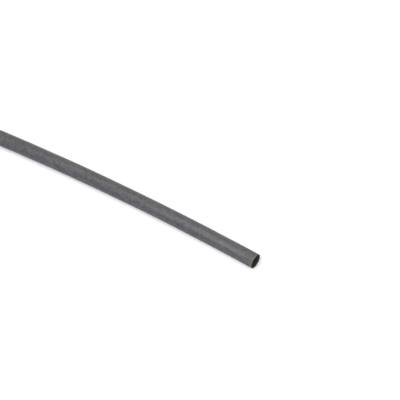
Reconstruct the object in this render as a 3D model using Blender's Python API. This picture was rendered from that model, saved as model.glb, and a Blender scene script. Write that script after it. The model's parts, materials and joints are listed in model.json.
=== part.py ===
"""A cut length of heat shrink tube, as supplied and not yet shrunk, lying on its side.

Run it with: blender --background --python part.py

Units are metres, with +Z up. The tube rests on the plane Z = 0 and keeps the slight
bow of the reel that it was cut from. The bow lies flat: the chord between the two
cut ends runs along X, the middle bulges towards +Y, and the origin is on the floor
under the middle of the tube's bounding box.
"""

import math

import bmesh
import bpy
from mathutils import Matrix

# Driving dimensions
CUT_LENGTH = 0.150  # along the centre line
BORE_DIAMETER = 0.0065  # the 6 mm size before it is shrunk
WALL_THICKNESS = 0.00028
BEND_RADIUS = 1.23  # of the centre line

# How finely the round shapes are faceted
SIDES_AROUND = 48
FACET_LENGTH = 0.0075

OUTER_DIAMETER = BORE_DIAMETER + 2 * WALL_THICKNESS
SWEEP_ANGLE = CUT_LENGTH / BEND_RADIUS

TUBE_GREY = (0.038, 0.037, 0.040, 1.0)
TUBE_ROUGHNESS = 0.45


def clear_scene():
    """Removes every object, so that only the tube is left."""
    for obj in list(bpy.data.objects):
        bpy.data.objects.remove(obj)


def corner_radius(diameter):
    """Radius to the corners of the polygon whose flats touch a circle of this diameter."""
    return diameter / 2 / math.cos(math.pi / SIDES_AROUND)


def add_cut_face(bm):
    """Adds the ring of wall that a square cut shows, standing in the plane X = 0.

    Half a facet of turn puts a flat, and not a corner, at the lowest point.
    """
    stand_up = Matrix.Rotation(math.pi / 2, 4, "Y")
    flat_down = Matrix.Rotation(math.pi / SIDES_AROUND, 4, "Z")
    for diameter in (BORE_DIAMETER, OUTER_DIAMETER):
        bmesh.ops.create_circle(
            bm,
            segments=SIDES_AROUND,
            radius=corner_radius(diameter),
            matrix=stand_up @ flat_down,
        )
    bmesh.ops.bridge_loops(bm, edges=bm.edges[:])


def sweep_round_bend(bm):
    """Carries the cut face along the bowed centre line, from the -X end to the +X end.

    The centre line is an arc about an upright axis at Y = -BEND_RADIUS, and its
    middle is at the origin.
    """
    bend_centre = (0.0, -BEND_RADIUS, 0.0)
    bmesh.ops.rotate(
        bm,
        verts=bm.verts[:],
        cent=bend_centre,
        matrix=Matrix.Rotation(SWEEP_ANGLE / 2, 3, "Z"),
    )
    bmesh.ops.spin(
        bm,
        geom=bm.verts[:] + bm.edges[:] + bm.faces[:],
        cent=bend_centre,
        axis=(0.0, 0.0, 1.0),
        angle=-SWEEP_ANGLE,
        steps=math.ceil(CUT_LENGTH / FACET_LENGTH),
    )


def bounding_middle_y():
    """Y of the middle of the swept tube's bounding box, with the centre line's middle at Y = 0."""
    outer_side = OUTER_DIAMETER / 2
    bow_depth = BEND_RADIUS * (1 - math.cos(SWEEP_ANGLE / 2))
    inner_side = -bow_depth - outer_side * math.cos(SWEEP_ANGLE / 2)
    return (outer_side + inner_side) / 2


def tube_material():
    """Plain dark grey polyolefin with a satin surface."""
    material = bpy.data.materials.new("dark_grey_polyolefin")
    material.use_nodes = True
    shader = material.node_tree.nodes["Principled BSDF"]
    shader.inputs["Base Color"].default_value = TUBE_GREY
    shader.inputs["Roughness"].default_value = TUBE_ROUGHNESS
    shader.inputs["Metallic"].default_value = 0.0
    return material


def make_tube():
    """The tube, one extruded piece that is open at both ends."""
    bm = bmesh.new()
    add_cut_face(bm)
    sweep_round_bend(bm)
    bmesh.ops.recalc_face_normals(bm, faces=bm.faces[:])
    mesh = bpy.data.meshes.new("heat_shrink_tube")
    bm.to_mesh(mesh)
    bm.free()

    mesh.shade_smooth()
    mesh.set_sharp_from_angle(angle=math.radians(40))
    mesh.materials.append(tube_material())

    tube = bpy.data.objects.new("heat_shrink_tube", mesh)
    tube.location = (0.0, -bounding_middle_y(), OUTER_DIAMETER / 2)
    bpy.context.scene.collection.objects.link(tube)
    return tube


clear_scene()
make_tube()
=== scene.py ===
"""A cut length of heat shrink tube on a white table, laid out as a Blender add-on.

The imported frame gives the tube's real size, its wall and its bow. Two operators do the
work: one sets the stage, with its floor, lights and camera, and one makes the tube.
Lengths are in metres, +Z is up, and the open end that the photograph shows is at +X.
"""

import json
import math

import bpy
import numpy as np
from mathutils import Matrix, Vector


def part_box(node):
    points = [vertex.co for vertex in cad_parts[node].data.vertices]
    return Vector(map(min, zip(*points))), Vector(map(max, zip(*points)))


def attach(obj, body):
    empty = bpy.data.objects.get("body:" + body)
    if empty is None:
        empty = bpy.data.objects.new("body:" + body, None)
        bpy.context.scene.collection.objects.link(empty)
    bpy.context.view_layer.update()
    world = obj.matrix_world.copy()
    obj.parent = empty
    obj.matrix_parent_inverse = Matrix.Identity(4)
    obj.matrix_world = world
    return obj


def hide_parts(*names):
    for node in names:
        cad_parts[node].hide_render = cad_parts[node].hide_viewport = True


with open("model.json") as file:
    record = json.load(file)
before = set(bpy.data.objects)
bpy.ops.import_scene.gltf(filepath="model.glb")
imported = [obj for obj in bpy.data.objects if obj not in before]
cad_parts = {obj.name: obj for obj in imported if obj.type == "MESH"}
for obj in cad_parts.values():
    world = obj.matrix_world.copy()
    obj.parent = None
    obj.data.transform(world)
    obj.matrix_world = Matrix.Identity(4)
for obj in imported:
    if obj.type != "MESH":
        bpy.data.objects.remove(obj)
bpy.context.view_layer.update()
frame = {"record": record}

bl_info = {
    "name": "Heat Shrink Tube",
    "version": (1, 0, 0),
    "blender": (4, 5, 0),
    "location": "3D View > Sidebar > Shrink Tube",
    "description": "Makes a bowed length of heat shrink tube and a plain studio round it",
    "category": "Add Mesh",
}

# Names of the frame's own parts
TUBE_NODE = "heat_shrink_tube"
TUBE_BODY = "root"
OPEN_END_MOUNT = "open_cut_end"

MM = 0.001

# The photograph's frame, in pixels, and where the middle of the open end is in it
PHOTO_SIDE = 400.0
OPEN_END_PIXEL = (255.64, 261.47)
SENSOR_WIDTH_MM = 36.0

# Points of the tube's mesh
SIDES_AROUND = 144
SKIN_ROWS = 300
BORE_ROWS = 200
CUT_ROWS = 5
EDGE_ROWS = 4
ROWS_NEAR_CUTS = 0.35  # 0 spaces the rows evenly, and 1 crowds them towards both cuts
LARGEST_EDGE = 0.4  # the most of the wall that one rounded edge takes

# The long axis of the oval swings about a middle angle, in radians, once in each wave
# along the tube
OVAL_MIDDLE = 0.9
OVAL_SWING = 0.8
OVAL_START = 0.6
OVAL_WAVE = 110 * MM

# The swells in the wall: how many lobes round the tube, and how long along it
SWELLS = ((1, 47 * MM), (2, 31 * MM), (3, 23 * MM), (2, 17 * MM), (3, 13 * MM), (4, 9 * MM))
SWELL_SEED = 5

FLARE_FADE = 0.35 * MM  # how far from a cut its flare has fallen to about a third

# The blade's wobble: how many lobes round a cut, how high, and turned how far, in radians
WOBBLES = ((2, 1.0, 0.4), (5, 0.6, 1.9), (9, 0.4, -0.7))
CUT_POWER = 9  # keeps lean and wobble near the cuts, and is odd, so the far cut mirrors them

# The material's noises: waves in a metre along, across and up, then the octaves and how
# strong each is against the one before
PATTERNS = {
    "blotch": ((230.0, 420.0, 420.0), 4.0, 0.7),
    "fleck": ((1000.0, 1300.0, 1300.0), 2.0, 0.7),
    "drift": ((75.0, 170.0, 170.0), 2.0, 0.5),
    "lines": ((9.0, 2600.0, 2600.0), 1.5, 0.5),
    "grain": ((5200.0, 5200.0, 5200.0), 2.0, 0.6),
    "peel": ((260.0, 700.0, 700.0), 2.0, 0.5),
    "blade": ((900.0, 700.0, 9000.0), 2.0, 0.5),
}
SPECK_CELLS = 250.0  # in a metre
SPECK_RADIUS = 0.045  # of a cell

# What makes up the bloom, the coolness and the dullness: a noise or mark, the range of it
# that counts, and what the two ends of that range add. The bloom also carries painted light on the
# top and near the cuts, and the coolness painted shade along the front.
BLOOM_AND_PAINTED_LIGHT_SHARES = (
    ("blotch", (0.35, 0.65), (-0.11, 0.31)),
    ("fleck", (0.35, 0.65), (-0.32, 0.57)),
    ("drift", (0.35, 0.65), (-0.05, 0.10)),
    ("lines", (0.45, 0.75), (0.0, 0.15)),
    # Painted light: the top is made paler.
    ("painted_top_light", (0.0, 1.0), (0.0, 0.20)),
    # Painted light: the skin near each cut is made paler.
    ("rubbed_and_painted_light_end", (0.0, 1.0), (0.0, 0.20)),
)
COOL_AND_PAINTED_SHADE_SHARES = (
    ("drift", (0.4, 0.6), (-0.3, 0.3)),
    ("blotch", (0.4, 0.6), (-0.15, 0.15)),
    # Painted shade: the front is made darker and cooler.
    ("painted_front_shade", (0.0, 1.0), (0.0, 1.0)),
)
DULL_SHARES = (
    ("blotch", (0.38, 0.62), (-0.06, 0.06)),
    ("drift", (0.38, 0.62), (-0.05, 0.05)),
    ("rubbed_and_painted_light_end", (0.0, 1.0), (0.0, 0.30)),
    ("is_bore", (0.0, 1.0), (0.0, 0.15)),
    ("is_cut", (0.0, 1.0), (0.0, 0.20)),
    ("specks", (0.0, 1.0), (0.0, 0.30)),
)

# How high each noise raises the surface, from the lowest layer to the uppermost
RELIEF = (("drift", 0.3 * MM), ("peel", 0.05 * MM), ("lines", 0.012 * MM), ("grain", 0.004 * MM))
BLADE_RELIEF = 0.02 * MM
PLASTIC_IOR = 1.49
TABLE_ROUGHNESS = 0.9
TABLE_SHINE = 0.2

# The Mix node's colour sockets, whose names its other kinds of value share
MIX_FIRST = 6
MIX_SECOND = 7
MIX_RESULT = 2

# What settings of the same kind have in common
COLOUR = {"min": 0.0, "max": 1.0, "size": 3, "subtype": "COLOR"}
SMALL_LENGTH = {"min": 0.0, "unit": "LENGTH", "precision": 6}
LAMP_POWER = {"min": 0.0, "unit": "POWER"}


def read_tube_facts():
    """The tube's size as the frame has it.

    The open cut's mount is on the middle of the wall, straight above the bore, so it lies
    half a wall below the top. Its axis gives the way the tube points there, and the
    bend's radius is the mount's X over the sine of that angle.
    """
    low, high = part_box(TUBE_NODE)
    mount = next(m for m in frame["record"]["mounts"] if m["name"] == OPEN_END_MOUNT)
    heading = math.asin(-mount["axis"][1])
    bend_radius = mount["pos_m"][0] / math.sin(heading)
    return {
        "outer_diameter": high.z - low.z,
        "wall": 2 * (high.z - mount["pos_m"][2]),
        "bend_radius": bend_radius,
        "length": 2 * heading * bend_radius,
        "outer_side": high.y,
    }


TUBE = read_tube_facts()


class TubeShape(bpy.types.PropertyGroup):
    """Sizes of the tube, with the frame's own as defaults."""

    outer_diameter: bpy.props.FloatProperty(
        name="Outer diameter",
        description="Across the outside of the tube as supplied",
        default=TUBE["outer_diameter"],
        min=MM,
        unit="LENGTH",
        precision=5,
    )
    wall: bpy.props.FloatProperty(
        name="Wall",
        description="Thickness of the tube's wall",
        default=TUBE["wall"],
        min=0.05 * MM,
        unit="LENGTH",
        precision=5,
    )
    length: bpy.props.FloatProperty(
        name="Length",
        description="Length along the centre line, from cut to cut",
        default=TUBE["length"],
        min=10 * MM,
        unit="LENGTH",
        precision=4,
    )
    bend_radius: bpy.props.FloatProperty(
        name="Bend radius",
        description="Radius of the bow that the reel left in the tube",
        default=TUBE["bend_radius"],
        min=50 * MM,
        unit="LENGTH",
        precision=3,
    )
    edge_radius: bpy.props.FloatProperty(
        name="Cut edge radius",
        description="Rounding of the two edges of each cut",
        default=0.035 * MM,
        **SMALL_LENGTH,
    )
    out_of_round: bpy.props.FloatProperty(
        name="Out of round",
        description="How far the oval of the section departs from a circle",
        default=0.030 * MM,
        **SMALL_LENGTH,
    )
    waviness: bpy.props.FloatProperty(
        name="Waviness",
        description="Height of the shallow swells that handling leaves in the thin wall",
        default=0.016 * MM,
        **SMALL_LENGTH,
    )
    cut_flare: bpy.props.FloatProperty(
        name="Cut flare",
        description="How far the blade left the wall standing out at each cut",
        default=0.03 * MM,
        **SMALL_LENGTH,
    )
    cut_wander: bpy.props.FloatProperty(
        name="Cut wander",
        description="How far back the blade's wobble sets the deepest part of each cut",
        default=0.02 * MM,
        **SMALL_LENGTH,
    )
    cut_lean: bpy.props.FloatProperty(
        name="Cut lean",
        description="How far each cut wanders from square, across the tube",
        default=math.radians(0.8),
        unit="ROTATION",
        precision=4,
    )


class TubeFinish(bpy.types.PropertyGroup):
    """Colours and surface of the satin polyolefin."""

    skin_colour: bpy.props.FloatVectorProperty(
        name="Skin",
        description="Colour of the extruded outside where it is bare",
        default=(0.029, 0.0282, 0.0297),
        **COLOUR,
    )
    # Also the colour of the painted light on the top and near the cuts.
    bloom_and_painted_light_colour: bpy.props.FloatVectorProperty(
        name="Bloom",
        description="Colour of the paler, powdery patches on the outside",
        default=(0.0635, 0.0626, 0.0655),
        **COLOUR,
    )
    # Darker than the skin: along the front this colour is painted shade, with a cooler tint.
    cool_and_painted_shade_colour: bpy.props.FloatVectorProperty(
        name="Cool side",
        description="Colour of the cooler patches, which lie mostly along the front",
        default=(0.016, 0.0143, 0.0285),
        **COLOUR,
    )
    # Painted highlight in a band of skin next to each cut.
    cut_highlight_colour: bpy.props.FloatVectorProperty(
        name="Cut band",
        description="Colour of the skin that a cut has stressed",
        default=(0.078, 0.078, 0.073),
        **COLOUR,
    )
    dust_colour: bpy.props.FloatVectorProperty(
        name="Dust",
        description="Colour of the few specks of dust on the outside",
        default=(0.13, 0.13, 0.125),
        **COLOUR,
    )
    cut_colour: bpy.props.FloatVectorProperty(
        name="Cut",
        description="Colour of the cut wall",
        default=(0.036, 0.036, 0.031),
        **COLOUR,
    )
    bore_colour: bpy.props.FloatVectorProperty(
        name="Bore",
        description="Colour of the inside",
        default=(0.036, 0.034, 0.020),
        **COLOUR,
    )
    roughness: bpy.props.FloatProperty(
        name="Roughness",
        description="Roughness of the satin outside",
        default=0.42,
        min=0.0,
        max=1.0,
        subtype="FACTOR",
    )


class StudioLook(bpy.types.PropertyGroup):
    """Floor, lights and camera."""

    floor_colour: bpy.props.FloatVectorProperty(
        name="Floor",
        description="Colour of the plain table",
        default=(0.75, 0.746, 0.756),
        **COLOUR,
    )
    sky_strength: bpy.props.FloatProperty(
        name="Surround",
        description="Brightness of the white surround",
        default=1.125,
        min=0.0,
    )
    front_power: bpy.props.FloatProperty(
        name="Front light",
        description="Power of the soft light in front of the open end",
        default=0.985,
        **LAMP_POWER,
    )
    side_power: bpy.props.FloatProperty(
        name="Side light",
        description="Power of the soft light high on the left",
        default=0.186,
        **LAMP_POWER,
    )
    view_turn: bpy.props.FloatProperty(
        name="View turn",
        description="How far the camera stands round from straight in front",
        default=math.radians(32.194),
        unit="ROTATION",
    )
    view_rise: bpy.props.FloatProperty(
        name="View elevation",
        description="How steeply the camera looks down",
        default=math.radians(48.929),
        unit="ROTATION",
    )
    field_of_view: bpy.props.FloatProperty(
        name="Field of view",
        description="Angle across the picture",
        default=math.radians(10.167),
        unit="ROTATION",
    )
    camera_distance: bpy.props.FloatProperty(
        name="Camera distance",
        description="From the camera to the open end, along the line of view",
        default=1.0294,
        min=10 * MM,
        unit="LENGTH",
    )


def bend(along, across, up, shape):
    """Places on a straight tube carried onto the bow, as an array of points.

    The bow is an arc about an upright axis. A place goes round the arc by its distance
    along divided by the bend's radius, at the bend's radius plus its distance across. The
    tube rests on the floor, and its outer side is where the frame has it.
    """
    half = shape.outer_diameter / 2
    middle_side = TUBE["outer_side"] - half
    turn = along / shape.bend_radius
    reach = shape.bend_radius + across
    x = reach * np.sin(turn)
    y = middle_side - shape.bend_radius + reach * np.cos(turn)
    return np.stack(np.broadcast_arrays(x, y, half + up), axis=-1)


def crowded(rows):
    """Places from -1 to 1 that are a little closer together near both ends.

    An even run is mixed with the sine of the same run, taken from minus to plus a quarter
    of a turn.
    """
    even = np.linspace(-1, 1, rows + 1)
    return (1 - ROWS_NEAR_CUTS) * even + ROWS_NEAR_CUTS * np.sin(even * math.pi / 2)


def stretch(along, depth, is_cut, is_bore):
    """A stretch of the wall's outline, with the four values of a point in each row."""
    return np.stack(np.broadcast_arrays(along, depth, is_cut, is_bore), axis=-1)


def wall_outline(shape):
    """The wall cut open lengthways: one closed line round its section.

    It runs along the skin to the open end, over the skin's edge, down the cut, over the
    bore's edge, back along the bore, and up the far cut the same way. Each edge is a
    quarter circle. Gives the distance along the tube, the depth under the skin, and how
    much of each point is cut and how much is bore, from 0 to 1.
    """
    end, wall = shape.length / 2, shape.wall
    edge = min(shape.edge_radius, LARGEST_EDGE * wall)
    plain_end = end - edge
    quarter = np.linspace(0, math.pi / 2, EDGE_ROWS + 1)[1:]
    sine, cosine = np.sin(quarter), np.cos(quarter)
    face = np.linspace(edge, wall - edge, CUT_ROWS + 1)[1:]

    skin = stretch(crowded(SKIN_ROWS) * plain_end, 0, 0, 0)
    skin_edge = stretch(plain_end + edge * sine, edge - edge * cosine, sine**2, 0)
    cut_face = stretch(end, face, 1, 0)
    bore_edge = stretch(
        plain_end + edge * cosine, wall - edge + edge * sine, cosine**2, sine**2
    )
    open_cut = np.concatenate([skin_edge, cut_face, bore_edge])
    bore = stretch(-crowded(BORE_ROWS)[1:] * plain_end, wall, 0, 1)
    # The far cut is the open one mirrored and run the other way, without the point that
    # the bore ends on.
    far_cut = open_cut[-2::-1] * (-1, 1, 1, 1)
    return np.concatenate([skin, open_cut, bore, far_cut]).T


def standing_out(along, around, shape):
    """How far the thin wall stands out from a true tube.

    An oval, whose long axis turns slowly along the tube, plus six long, shallow sine
    waves that run along it and round it, plus a flare that dies away within a
    millimetre of each cut. The shorter a wave is, the lower. All of it is multiplied by
    the square of the sine of twice the angle around, so the lines along the underside,
    the top and both sides stay true and the tube keeps to its box.
    """
    oval_turn = OVAL_MIDDLE + OVAL_SWING * np.sin(2 * math.pi * along / OVAL_WAVE + OVAL_START)
    out = shape.out_of_round * np.cos(2 * (around - oval_turn))
    rng = np.random.default_rng(SWELL_SEED)
    longest = SWELLS[0][1]
    for lobes, wave in SWELLS:
        along_phase, round_phase = rng.uniform(0, 2 * math.pi, 2)
        height = shape.waviness * wave / longest
        swell = np.sin(2 * math.pi * along / wave + along_phase)
        out = out + height * swell * np.cos(lobes * around + round_phase)
    from_cut = shape.length / 2 - np.abs(along)
    out = out + shape.cut_flare * np.exp(-from_cut / FLARE_FADE)
    return out * np.sin(2 * around) ** 2


def cut_back(along, around, shape):
    """How far the blade's wobble sets a cut back: three sine waves round the tube.

    At the two ends they are turned opposite ways. Their sum is carried to between 0 and 1
    and multiplied by the wander.
    """
    end = np.sign(along)
    wave = sum(height * np.sin(lobes * around + turn * end) for lobes, height, turn in WOBBLES)
    highest = sum(height for _, height, _ in WOBBLES)
    return shape.cut_wander * (0.5 + 0.5 * wave / highest)


def tube_points(shape):
    """Every point of the tube's closed surface, on a grid of outline by angle around.

    A point is its outline's distance from the centre line, plus what the wall stands
    out there, at the angle around, and then it is carried onto the bow. The cuts lean
    a little: a point moves along by its height times the lean, and back by the blade's
    wobble, in full at the cuts. Gives the points, the same places on the tube as if it
    were straight, and how much of each is cut and how much is bore.
    """
    along, depth, is_cut, is_bore = wall_outline(shape)[..., None]
    around = np.linspace(0, 2 * math.pi, SIDES_AROUND, endpoint=False)
    radius = shape.outer_diameter / 2 - depth + standing_out(along, around, shape)
    across, up = radius * np.cos(around), radius * np.sin(around)
    share = (2 * along / shape.length) ** CUT_POWER
    lean = share * up * math.tan(shape.cut_lean)
    along = along + lean - share * cut_back(along, around, shape)
    points = bend(along, across, up, shape)
    straight = np.stack([along, across, up], axis=-1)
    grid = radius.shape
    return points, straight, np.broadcast_to(is_cut, grid), np.broadcast_to(is_bore, grid)


def closed_grid_faces(rows, columns):
    """Four-sided faces of a grid whose last row and column meet its first ones again.

    Each goes to the next column first and then to the next row. The rows start along the
    skin towards +X and the columns turn from +Y up to +Z, so every face points out.
    """
    at = np.arange(rows * columns).reshape(rows, columns)
    next_row, next_column = np.roll(at, -1, axis=0), np.roll(at, -1, axis=1)
    corner = np.roll(next_row, -1, axis=1)
    return np.stack([at, next_column, corner, next_row], axis=-1).reshape(-1, 4)


def fill_mesh(name, points, faces):
    """A smooth mesh, filled from whole arrays of points and of four-sided faces."""
    mesh = bpy.data.meshes.new(name)
    mesh.vertices.add(points.size // 3)
    mesh.vertices.foreach_set("co", points.astype(np.float32).ravel())
    mesh.loops.add(faces.size)
    mesh.loops.foreach_set("vertex_index", faces.astype(np.int32).ravel())
    mesh.polygons.add(len(faces))
    mesh.polygons.foreach_set("loop_start", np.arange(0, faces.size, 4, dtype=np.int32))
    mesh.update(calc_edges=True)
    mesh.shade_smooth()
    mesh.validate()
    return mesh


def keep_numbers(mesh, name, kind, values):
    """Keeps one number or vector for each point, for the material to read."""
    layer = mesh.attributes.new(name, kind, "POINT")
    key = "vector" if kind == "FLOAT_VECTOR" else "value"
    layer.data.foreach_set(key, np.ascontiguousarray(values, np.float32).ravel())


def add_node(tree, kind, sockets=(), **settings):
    """A new node with its settings, and with its input sockets' values by name."""
    node = tree.nodes.new(kind)
    for name, value in settings.items():
        setattr(node, name, value)
    for name, value in dict(sockets).items():
        node.inputs[name].default_value = value
    return node


def feed(tree, value, socket):
    """Gives a socket its value, which is another node's output or plain numbers."""
    if isinstance(value, bpy.types.NodeSocket):
        tree.links.new(value, socket)
    else:
        socket.default_value = value


def read_numbers(tree, name, output):
    """What the piece keeps at each point under a name, as a number or a vector."""
    node = add_node(tree, "ShaderNodeAttribute", attribute_name=name)
    return node.outputs[output]


def add_pattern(tree, place, waves, octaves, strength):
    """A noise over the straight tube, with its waves in a metre given each way."""
    mapping = add_node(tree, "ShaderNodeMapping", {"Scale": waves})
    tree.links.new(place, mapping.inputs["Vector"])
    noise = add_node(
        tree,
        "ShaderNodeTexNoise",
        {"Scale": 1.0, "Detail": octaves, "Roughness": strength},
    )
    tree.links.new(mapping.outputs["Vector"], noise.inputs["Vector"])
    return noise.outputs["Fac"]


def add_specks(tree, place):
    """Small round specks at a scatter of points, one to a cell and most of them under the skin.

    A speck is whole up to half its radius and fades from there.
    """
    scatter = add_node(tree, "ShaderNodeTexVoronoi", {"Scale": SPECK_CELLS})
    tree.links.new(place, scatter.inputs["Vector"])
    fading = (0.5 * SPECK_RADIUS, SPECK_RADIUS)
    return add_range(tree, scatter.outputs["Distance"], fading, (1.0, 0.0))


def add_range(tree, value, source, target):
    """Carries a value from one range to another, without going past its ends."""
    node = add_node(
        tree,
        "ShaderNodeMapRange",
        {
            "From Min": source[0],
            "From Max": source[1],
            "To Min": target[0],
            "To Max": target[1],
        },
        clamp=True,
    )
    tree.links.new(value, node.inputs["Value"])
    return node.outputs["Result"]


def add_math(tree, operation, *values):
    """Two or more values added or multiplied, one after another."""
    total = values[0]
    for value in values[1:]:
        node = add_node(tree, "ShaderNodeMath", operation=operation)
        feed(tree, total, node.inputs[0])
        feed(tree, value, node.inputs[1])
        total = node.outputs["Value"]
    return total


def add_shares(tree, found, shares):
    """The sum of some noises and marks, each carried from its range to what it adds."""
    parts = [add_range(tree, found[name], source, target) for name, source, target in shares]
    return add_math(tree, "ADD", *parts)


def add_mix(tree, share, first, second):
    """A colour that goes from first to second. Either may be an output or a plain colour."""
    node = add_node(tree, "ShaderNodeMix", data_type="RGBA", blend_type="MIX")
    feed(tree, share, node.inputs["Factor"])
    feed(tree, first, node.inputs[MIX_FIRST])
    feed(tree, second, node.inputs[MIX_SECOND])
    return node.outputs[MIX_RESULT]


def add_bump(tree, height, depth, below=None):
    """Raises the surface by a height from 0 to 1 times a depth in metres."""
    node = add_node(tree, "ShaderNodeBump", {"Strength": 1.0, "Distance": depth})
    tree.links.new(height, node.inputs["Height"])
    if below is not None:
        tree.links.new(below, node.inputs["Normal"])
    return node.outputs["Normal"]


def satin_polyolefin(finish, mark_names):
    """Extruded polyolefin: satin skin with die lines and bloom, dull bore, dark cuts.

    The bloom is a blotchy noise of a few millimetres over a slower one, with painted light
    added on the top and near the cuts. The cool patches are a slow noise that is raised along the
    front, where the darker cool colour is painted shade. A band of painted highlight lies next to
    each cut. The die lines are a noise stretched thin along the tube, and the grain is a fine even
    one. The specks of dust lie at a scatter of points, and the marks of the blade are a noise
    stretched across the cut. All of them read the place on the straight tube, so they follow the
    bow and have no seam.
    """
    material = bpy.data.materials.new("satin_polyolefin")
    material.use_nodes = True
    tree = material.node_tree
    shader = tree.nodes["Principled BSDF"]
    place = read_numbers(tree, "straight_place", "Vector")
    found = {name: read_numbers(tree, name, "Fac") for name in mark_names}
    for name, (waves, octaves, strength) in PATTERNS.items():
        found[name] = add_pattern(tree, place, waves, octaves, strength)
    found["specks"] = add_specks(tree, place)

    # From the lowest layer of colour to the uppermost
    layers = (
        # painted shade along the front, over the random cool patches
        (add_shares(tree, found, COOL_AND_PAINTED_SHADE_SHARES), finish.cool_and_painted_shade_colour),
        (add_shares(tree, found, BLOOM_AND_PAINTED_LIGHT_SHARES), finish.bloom_and_painted_light_colour),
        (found["specks"], finish.dust_colour),
        # painted highlight in a band next to each cut
        (found["painted_cut_highlight"], finish.cut_highlight_colour),
        (found["is_bore"], finish.bore_colour),
        (found["is_cut"], finish.cut_colour),
    )
    colour = (*finish.skin_colour, 1.0)
    for share, layer in layers:
        colour = add_mix(tree, share, colour, (*layer, 1.0))
    tree.links.new(colour, shader.inputs["Base Color"])

    dullness = add_math(tree, "ADD", add_shares(tree, found, DULL_SHARES), finish.roughness)
    tree.links.new(dullness, shader.inputs["Roughness"])

    normal = None
    for name, depth in RELIEF:
        normal = add_bump(tree, found[name], depth, normal)
    blade_marks = add_math(tree, "MULTIPLY", found["blade"], found["is_cut"])
    normal = add_bump(tree, blade_marks, BLADE_RELIEF, normal)
    tree.links.new(normal, shader.inputs["Normal"])
    shader.inputs["IOR"].default_value = PLASTIC_IOR
    return material


def plain_white(colour):
    """The matt white of the table."""
    material = bpy.data.materials.new("matt_white_table")
    material.use_nodes = True
    shader = material.node_tree.nodes["Principled BSDF"]
    shader.inputs["Base Color"].default_value = (*colour, 1.0)
    shader.inputs["Roughness"].default_value = TABLE_ROUGHNESS
    shader.inputs["Specular IOR Level"].default_value = TABLE_SHINE
    return material


def line_of_view(turn, rise):
    """The way from the object to something that looks at it.

    It is the way to the front, -Y, turned towards +X and then raised.
    """
    level = math.cos(rise)
    return Vector((math.sin(turn) * level, -math.cos(turn) * level, math.sin(rise)))


def open_end_middle(shape):
    """Where the centre line meets the open cut."""
    here = bend(np.array(shape.length / 2), np.array(0.0), np.array(0.0), shape)
    return Vector(here.tolist())


class TUBE_OT_set_stage(bpy.types.Operator):
    """Sets the plain white floor, the soft lights and the photograph's camera"""

    bl_idname = "shrink_tube.set_stage"
    bl_label = "Set the stage"

    FLOOR_SIDE = 12.0
    # Where the soft lights stand round a point near the open end, in degrees and metres
    FRONT_TURN, FRONT_RISE = -5.0, 50.0
    SIDE_TURN, SIDE_RISE = -70.0, 70.0
    LIT_POINT = Vector((0.058, 0.0, 0.0))
    LAMP_DISTANCE = 0.35
    LAMP_SIDE = 0.18
    # How near and how far the camera sees
    NEAREST_SEEN, FARTHEST_SEEN = 10 * MM, 100.0

    def execute(self, context):
        look = context.scene.studio_look
        shape = context.scene.tube_shape
        self.add_floor(context, look)
        self.light_the_surround(context, look)
        self.add_lamp(context, "front_light", look.front_power, self.FRONT_TURN, self.FRONT_RISE)
        self.add_lamp(context, "side_light", look.side_power, self.SIDE_TURN, self.SIDE_RISE)
        self.add_camera(context, look, shape)
        context.scene.view_settings.view_transform = "Standard"
        return {"FINISHED"}

    def add_floor(self, context, look):
        """One square, level with the underside of the tube."""
        half = self.FLOOR_SIDE / 2
        corners = np.array([(-half, -half, 0), (half, -half, 0), (half, half, 0), (-half, half, 0)])
        mesh = fill_mesh("floor", corners, np.array([[0, 1, 2, 3]]))
        mesh.materials.append(plain_white(look.floor_colour))
        floor = bpy.data.objects.new("floor", mesh)
        context.scene.collection.objects.link(floor)

    def light_the_surround(self, context, look):
        """An even white world."""
        world = bpy.data.worlds.new("white_surround")
        world.use_nodes = True
        shader = world.node_tree.nodes["Background"]
        shader.inputs["Color"].default_value = (1.0, 1.0, 1.0, 1.0)
        shader.inputs["Strength"].default_value = look.sky_strength
        context.scene.world = world

    def add_lamp(self, context, name, power, turn, rise):
        """A square soft light that faces the lit point."""
        light = bpy.data.lights.new(name, "AREA")
        light.shape = "SQUARE"
        light.size = self.LAMP_SIDE
        light.energy = power
        lamp = bpy.data.objects.new(name, light)
        way = line_of_view(math.radians(turn), math.radians(rise))
        lamp.location = self.LIT_POINT + way * self.LAMP_DISTANCE
        lamp.rotation_mode = "QUATERNION"
        lamp.rotation_quaternion = way.to_track_quat("Z", "Y")
        lamp.visible_camera = False
        context.scene.collection.objects.link(lamp)

    def add_camera(self, context, look, shape):
        """The photograph's camera.

        It stands back from the open end's middle by its distance along the line of view,
        and to the side by what that end's pixel is from the picture's centre.
        """
        data = bpy.data.cameras.new("camera")
        half_width = math.tan(look.field_of_view / 2)
        data.sensor_width = SENSOR_WIDTH_MM
        data.lens = SENSOR_WIDTH_MM / 2 / half_width
        data.clip_start, data.clip_end = self.NEAREST_SEEN, self.FARTHEST_SEEN
        half_photo = PHOTO_SIDE / 2
        rightward, downward = (
            (pixel - half_photo) / half_photo * half_width for pixel in OPEN_END_PIXEL
        )
        back = line_of_view(look.view_turn, look.view_rise)
        right = Vector((math.cos(look.view_turn), math.sin(look.view_turn), 0))
        up = back.cross(right)
        camera = bpy.data.objects.new("camera", data)
        camera.location = open_end_middle(shape) + look.camera_distance * (
            back - rightward * right + downward * up
        )
        camera.rotation_mode = "QUATERNION"
        camera.rotation_quaternion = back.to_track_quat("Z", "Y")
        context.scene.collection.objects.link(camera)
        context.scene.camera = camera


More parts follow.
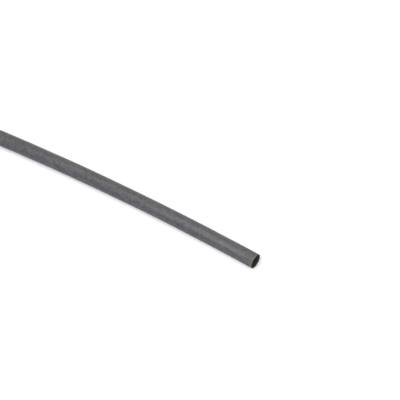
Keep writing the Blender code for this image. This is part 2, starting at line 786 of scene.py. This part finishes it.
class TUBE_OT_add_tube(bpy.types.Operator):
    """Makes the tube, one closed surface of skin, bore and two cuts, in place of the plain solid"""

    bl_idname = "shrink_tube.add_tube"
    bl_label = "Add the tube"

    BAND_LENGTH = 0.55 * MM  # of painted highlight on the skin next to a cut
    FRONT_SHADE_AT_CUT = 0.6  # how much of the front's painted shade and cool tint is left at a cut, against far from one
    FRONT_SHADE_END = 50 * MM  # how far from a cut the rest of the painted front shade comes in again
    RUBBED_AND_PAINTED_LIGHT_END = 9 * MM  # how far from a cut the skin is rubbed dull and painted lighter
    TOP_LIGHT_POWER = 4  # the higher it is, the closer to the top the painted light lies

    def execute(self, context):
        shape, finish = context.scene.tube_shape, context.scene.tube_finish
        points, straight, is_cut, is_bore = tube_points(shape)
        rows, columns = is_cut.shape
        mesh = fill_mesh("shrink_tube", points, closed_grid_faces(rows, columns))
        keep_numbers(mesh, "straight_place", "FLOAT_VECTOR", straight)
        marks = self.marks(shape, straight)
        marks.update(is_cut=is_cut, is_bore=is_bore)
        for name, values in marks.items():
            keep_numbers(mesh, name, "FLOAT", values)
        mesh.materials.append(satin_polyolefin(finish, marks))
        tube = bpy.data.objects.new("shrink_tube", mesh)
        context.scene.collection.objects.link(tube)
        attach(tube, TUBE_BODY)
        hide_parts(TUBE_NODE)
        return {"FINISHED"}

    def marks(self, shape, straight):
        """What the material reads at each point besides its place, from 0 to 1.

        The band of painted highlight next to a cut falls off as e to the minus distance from the
        cut over the band's length. The rubbed ends, which are also painted lighter, and the ends
        where the painted front shade is less fall off as e to the minus square of such a share. The
        front, painted in shade, and the top, painted lighter, grow with how far a point lies out
        that way.
        """
        radius = shape.outer_diameter / 2
        from_cut = shape.length / 2 - np.abs(straight[..., 0])
        front = np.clip(-straight[..., 1] / radius, 0, 1)
        top = np.clip(straight[..., 2] / radius, 0, 1)
        less_front_shade = (1 - self.FRONT_SHADE_AT_CUT) * np.exp(-((from_cut / self.FRONT_SHADE_END) ** 2))
        return {
            "painted_cut_highlight": np.exp(-from_cut / self.BAND_LENGTH),
            "painted_front_shade": front * (1 - less_front_shade),
            "rubbed_and_painted_light_end": np.exp(-((from_cut / self.RUBBED_AND_PAINTED_LIGHT_END) ** 2)),
            "painted_top_light": top**self.TOP_LIGHT_POWER,
        }


class TUBE_PT_sidebar(bpy.types.Panel):
    """Lists the sizes, the finish and the studio, with a button for each operator"""

    bl_idname = "TUBE_PT_sidebar"
    bl_label = "Heat Shrink Tube"
    bl_space_type = "VIEW_3D"
    bl_region_type = "UI"
    bl_category = "Shrink Tube"

    def draw(self, context):
        scene = context.scene
        groups = (
            (scene.studio_look, TUBE_OT_set_stage),
            (scene.tube_shape, None),
            (scene.tube_finish, TUBE_OT_add_tube),
        )
        for group, operator in groups:
            box = self.layout.box()
            for name in group.__annotations__:
                box.prop(group, name)
            if operator is not None:
                box.operator(operator.bl_idname)


CLASSES = (
    TubeShape,
    TubeFinish,
    StudioLook,
    TUBE_OT_set_stage,
    TUBE_OT_add_tube,
    TUBE_PT_sidebar,
)


def register():
    """Registers the classes and gives the scene its three groups of settings."""
    for made in CLASSES:
        bpy.utils.register_class(made)
    bpy.types.Scene.tube_shape = bpy.props.PointerProperty(type=TubeShape)
    bpy.types.Scene.tube_finish = bpy.props.PointerProperty(type=TubeFinish)
    bpy.types.Scene.studio_look = bpy.props.PointerProperty(type=StudioLook)


def unregister():
    """Takes the settings and the classes out again, in the reverse order."""
    del bpy.types.Scene.studio_look
    del bpy.types.Scene.tube_finish
    del bpy.types.Scene.tube_shape
    for made in reversed(CLASSES):
        bpy.utils.unregister_class(made)


def main():
    """Sets the stage and makes the tube, as the panel's buttons would."""
    register()
    bpy.ops.shrink_tube.set_stage()
    bpy.ops.shrink_tube.add_tube()


if __name__ == "__main__":
    main()
